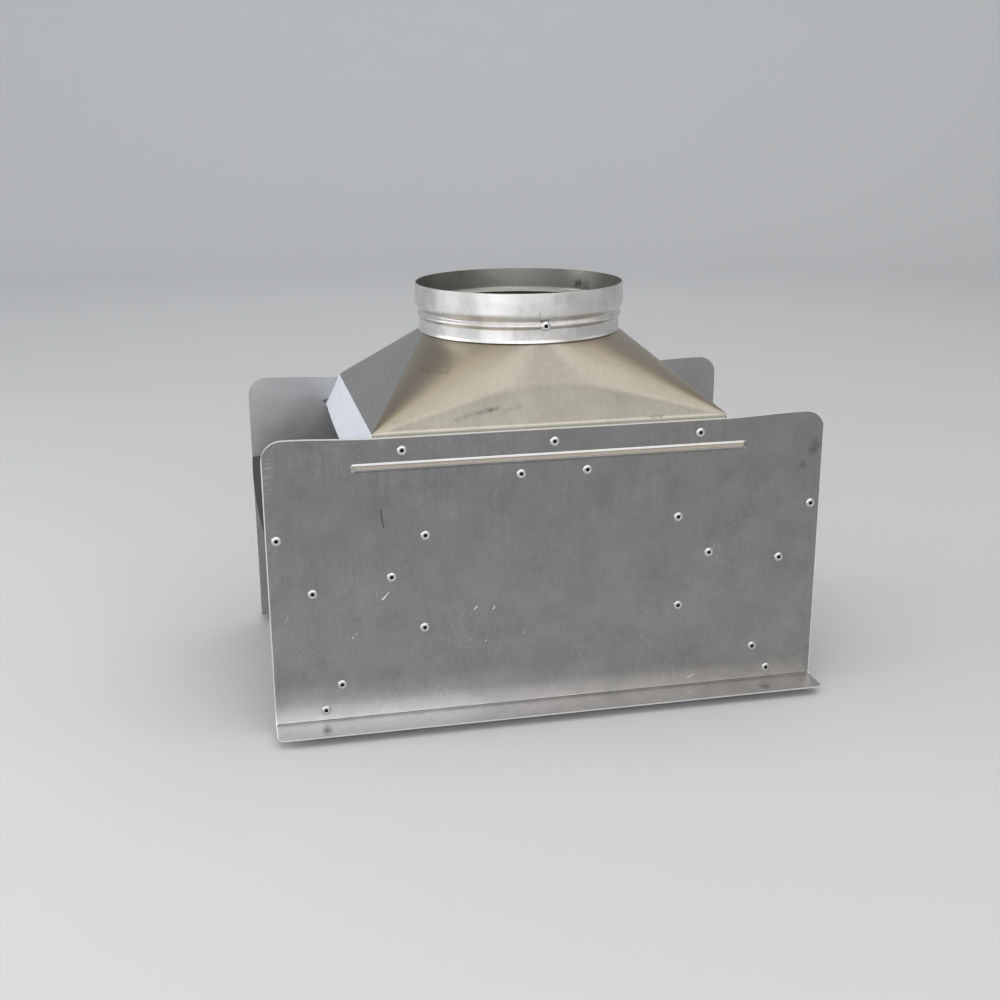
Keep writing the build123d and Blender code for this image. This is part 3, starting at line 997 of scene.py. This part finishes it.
def softbox(name, place, target, size, radiance, colour):
    """Area lamp of the given radiance, turned to its target and not seen by the camera itself."""
    light = bpy.data.lights.new(name, "AREA")
    light.shape = "RECTANGLE"
    light.size, light.size_y = size
    light.energy = radiance * math.pi * size[0] * size[1]
    light.color = colour
    lamp = bpy.data.objects.new(name, light)
    lamp.location = place
    lamp.rotation_euler = (Vector(target) - Vector(place)).to_track_quat("-Z", "Y").to_euler()
    lamp.visible_camera = False
    bpy.context.scene.collection.objects.link(lamp)


def lighting():
    """Soft lamps round the part, one on the backdrop, and an even grey world."""
    middle = (0, 0, 0.15)
    softbox("front", (0.2, -2.1, 0.84), middle, (2.2, 1.14), 2.1, (1.0, 0.99, 0.97))
    softbox("overhead", (0.1, -0.35, 2.0), middle, (3.6, 2.9), 1.0, (1.0, 0.98, 0.95))
    softbox("left", (-1.05, -1.25, 0.42), middle, (1.1, 0.8), 1.9, (0.96, 0.98, 1.0))
    softbox("right", (1.8, -0.4, 0.85), middle, (1.4, 1.3), 0.6, (1.0, 0.985, 0.96))
    softbox("side", (-1.55, 0.05, 0.66), middle, (1.0, 0.9), 3.4, (0.95, 0.98, 1.0))
    softbox("backdrop", (0.0, 1.5, 2.4), (0, 3.8, 0.9), (4.0, 0.8), 2.4, (0.97, 0.985, 1.0))
    world = bpy.data.worlds.new("studio")
    world.use_nodes = True
    world.node_tree.nodes["Background"].inputs["Color"].default_value = (0.25, 0.254, 0.262, 1)
    world.node_tree.nodes["Background"].inputs["Strength"].default_value = 1.0
    bpy.context.scene.world = world


def camera():
    """Camera at the photograph's place, in millimetres and degrees in the part's frame."""
    place = Vector((-221.1, -952.2, 415.4)) * MM
    yaw = math.radians(12.211)
    pitch = math.radians(16.584)
    roll = math.radians(-0.403)
    ahead = Vector((math.sin(yaw) * math.cos(pitch), math.cos(yaw) * math.cos(pitch), -math.sin(pitch)))
    level = Vector((math.cos(yaw), -math.sin(yaw), 0))
    upward = level.cross(ahead)
    right = math.cos(roll) * level + math.sin(roll) * upward
    up = -math.sin(roll) * level + math.cos(roll) * upward
    data = bpy.data.cameras.new("camera")
    data.sensor_width = 36.0
    data.lens = 47.75
    data.clip_start = 0.01
    eye = bpy.data.objects.new("camera", data)
    turn = Matrix((right, up, -ahead)).transposed()
    eye.matrix_world = Matrix.Translation(place) @ turn.to_4x4()
    bpy.context.scene.collection.objects.link(eye)
    bpy.context.scene.camera = eye


def main():
    """Dresses the part, then adds the stage and the camera."""
    small_dent = (-64.3 * MM, 168.1 * MM, 1.7 * MM, 0.22 * MM)
    front_seed = 1.7
    rear_seed = 8.2
    cut_edge = cut_edge_material()
    plate_finish = plate_material()
    plate_inside = plate_inside_material()
    inner_finish = inner_material()
    give(plate("front_plate", -1, front_seed, [small_dent]), plate_finish, cut_edge, plate_inside)
    give(plate("rear_plate", 1, rear_seed, []), plate_finish, cut_edge, plate_inside)
    give(hood(), hood_material(), cut_edge, inner_finish)
    give(collar(), collar_material(), collar_inside_material())
    rivet_finish = rivet_material()
    mandrel = mandrel_material()
    for name in sorted(nodes):
        if "rivets" in name:
            rivets(name, rivet_finish, mandrel)
    for name in ("left_side_wall", "right_side_wall", "baffle_tray", "baffle_roof", "cross_tie"):
        give(nodes[name], inner_finish)
    floor()
    lighting()
    camera()
    bpy.context.scene.view_settings.view_transform = "Standard"


main()
